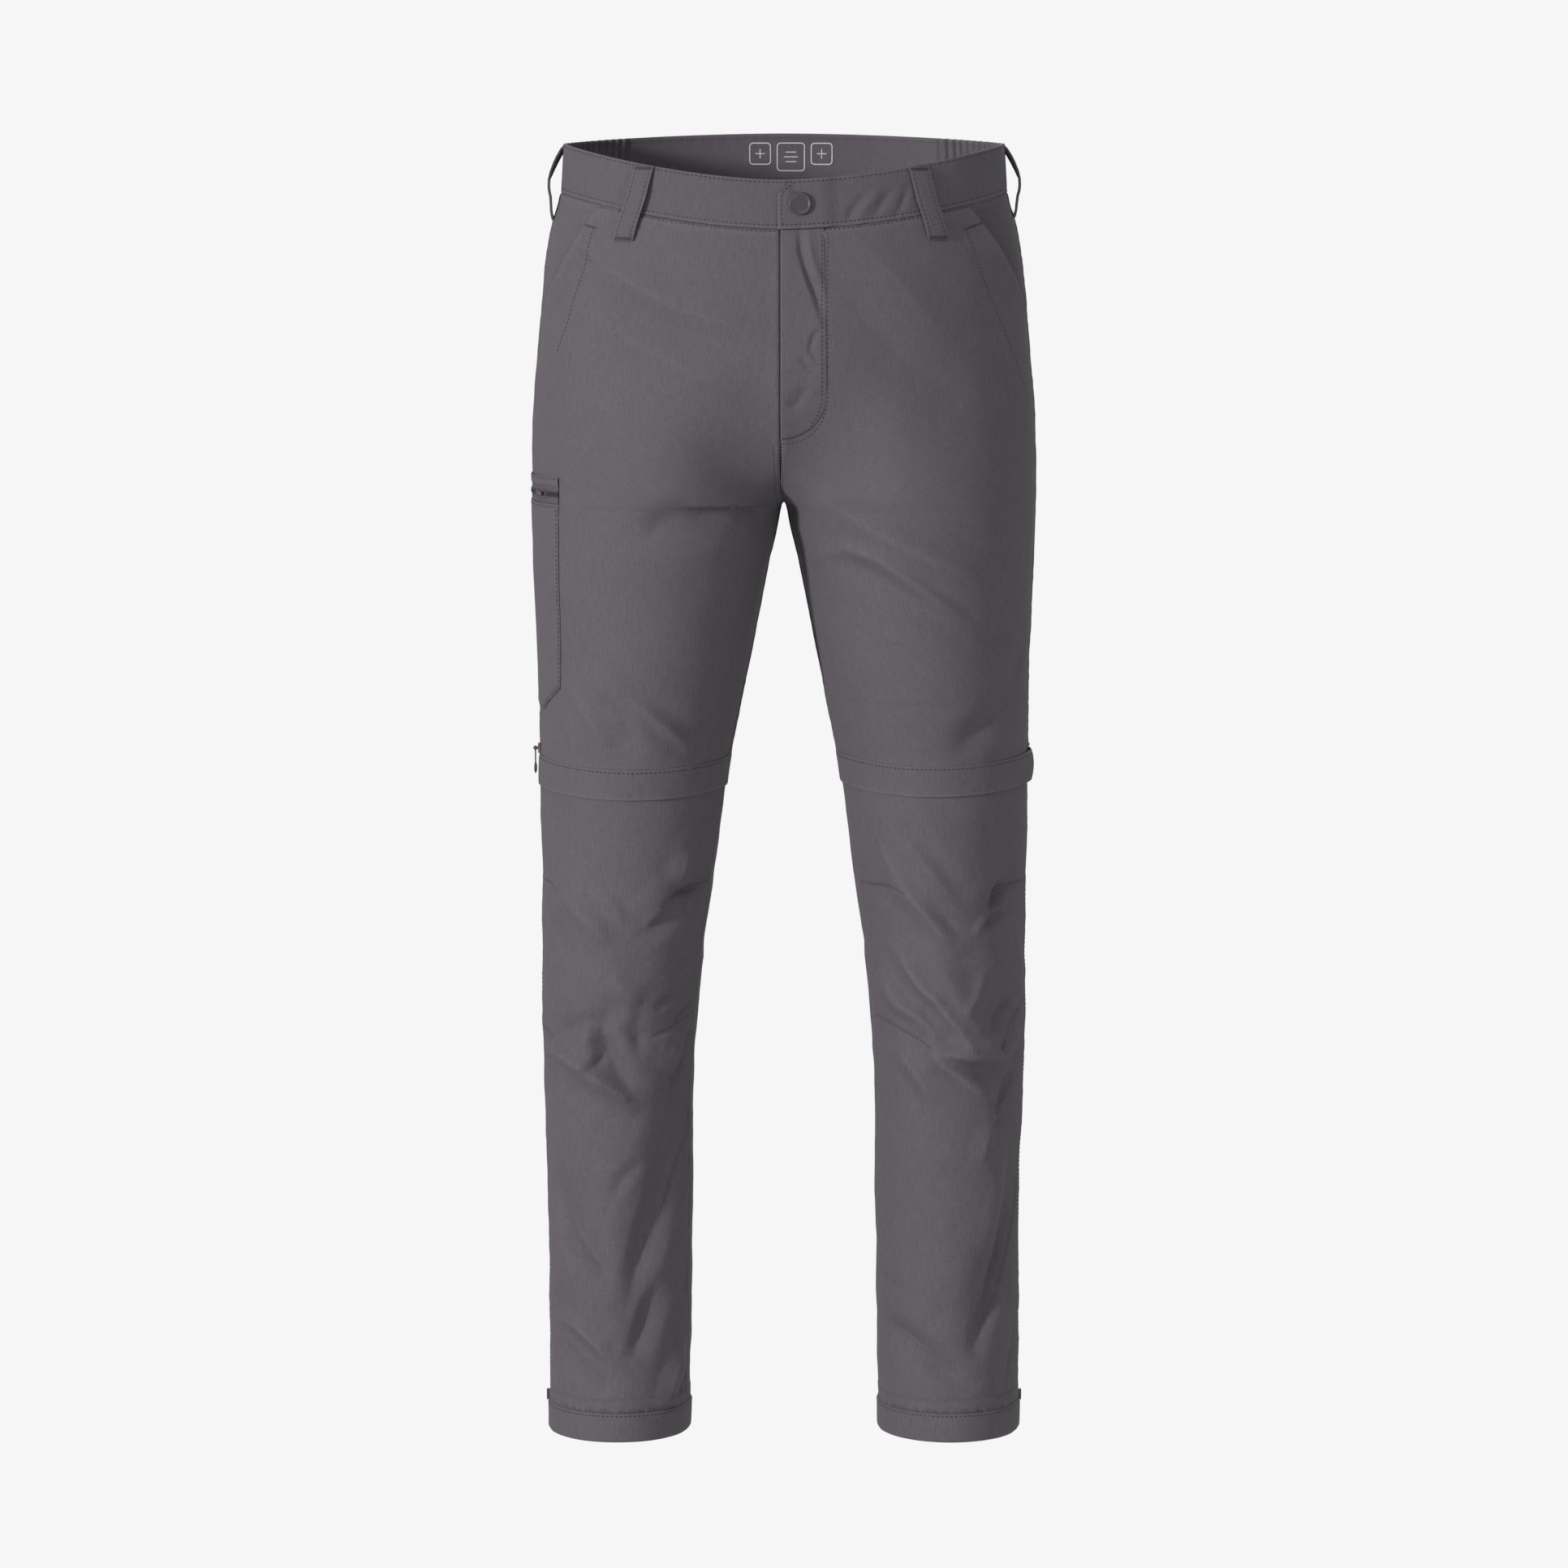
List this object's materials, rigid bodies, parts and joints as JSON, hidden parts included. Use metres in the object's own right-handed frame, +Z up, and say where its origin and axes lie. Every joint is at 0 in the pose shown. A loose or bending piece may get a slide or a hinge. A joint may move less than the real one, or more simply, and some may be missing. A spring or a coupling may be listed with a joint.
{
  "type": "outdoor trousers",
  "caption": "Hiking trousers with zip-off lower legs, part-elasticated waistband, slanted hip pockets and a zipped thigh pocket, filled out as when worn.",
  "frame": {"origin": "middle of the waist opening, level with the top of the waistband at the sides, where the wearer's waist holds the garment up", "axes": "+X to the wearer's left, -Y to the front, +Z up"},
  "size_m": [0.4168, 0.2444, 1.077],
  "materials": {
    "shell_cloth": "matt woven stretch cloth",
    "band_cloth": "matt woven stretch cloth, two layers",
    "dark_trim": "matt moulded",
    "slider_metal": "dark plated"
  },
  "bodies": {
    "trousers": {"front_upper_right": "shell_cloth", "front_upper_left": "shell_cloth", "back_upper_right": "shell_cloth", "back_upper_left": "shell_cloth", "hip_pocket_piece_right": "shell_cloth", "hip_pocket_piece_left": "shell_cloth", "front_lower_right": "shell_cloth", "front_lower_left": "shell_cloth", "back_lower_right": "shell_cloth", "back_lower_left": "shell_cloth", "hem_right": "shell_cloth", "hem_left": "shell_cloth", "fly_flap": "shell_cloth", "thigh_pocket_right": "shell_cloth", "thigh_zip_welt_right": "shell_cloth", "waistband_front_right": "band_cloth", "waistband_front_left": "band_cloth", "waistband_elastic_right": "band_cloth", "waistband_elastic_left": "band_cloth", "waistband_back": "band_cloth", "belt_loop_front_right": "band_cloth", "belt_loop_front_left": "band_cloth", "belt_loop_side_right": "band_cloth", "belt_loop_side_left": "band_cloth", "belt_loop_back": "band_cloth", "zip_flap_right": "band_cloth", "zip_flap_left": "band_cloth", "snap_button": "dark_trim", "thigh_zip_tape_right": "dark_trim", "hem_tab_right": "dark_trim", "hem_tab_left": "dark_trim", "thigh_zip_slider_right": "slider_metal", "leg_zip_slider_right": "slider_metal", "leg_zip_slider_left": "slider_metal"},
    "thigh_pull": {"thigh_zip_pull_right": "dark_trim"},
    "leg_pull_right": {"leg_zip_pull_right": "dark_trim"},
    "leg_pull_left": {"leg_zip_pull_left": "dark_trim"}
  },
  "joints": [
    {"name": "thigh_pull_swing", "type": "hinge", "parent": "trousers", "child": "thigh_pull", "pos_m": [-0.20009, -0.05057, -0.28438], "axis": [0.0628, 0.0323, 0.9975], "range_deg": [0, 110]},
    {"name": "leg_pull_right_swing", "type": "hinge", "parent": "trousers", "child": "leg_pull_right", "pos_m": [-0.20661, 0.00222, -0.50041], "axis": [0, 1, 0], "range_deg": [0, 110]},
    {"name": "leg_pull_left_swing", "type": "hinge", "parent": "trousers", "child": "leg_pull_left", "pos_m": [0.20336, 0.03166, -0.50045], "axis": [0.2328, -0.9725, 0], "range_deg": [0, 110]}
  ]
}
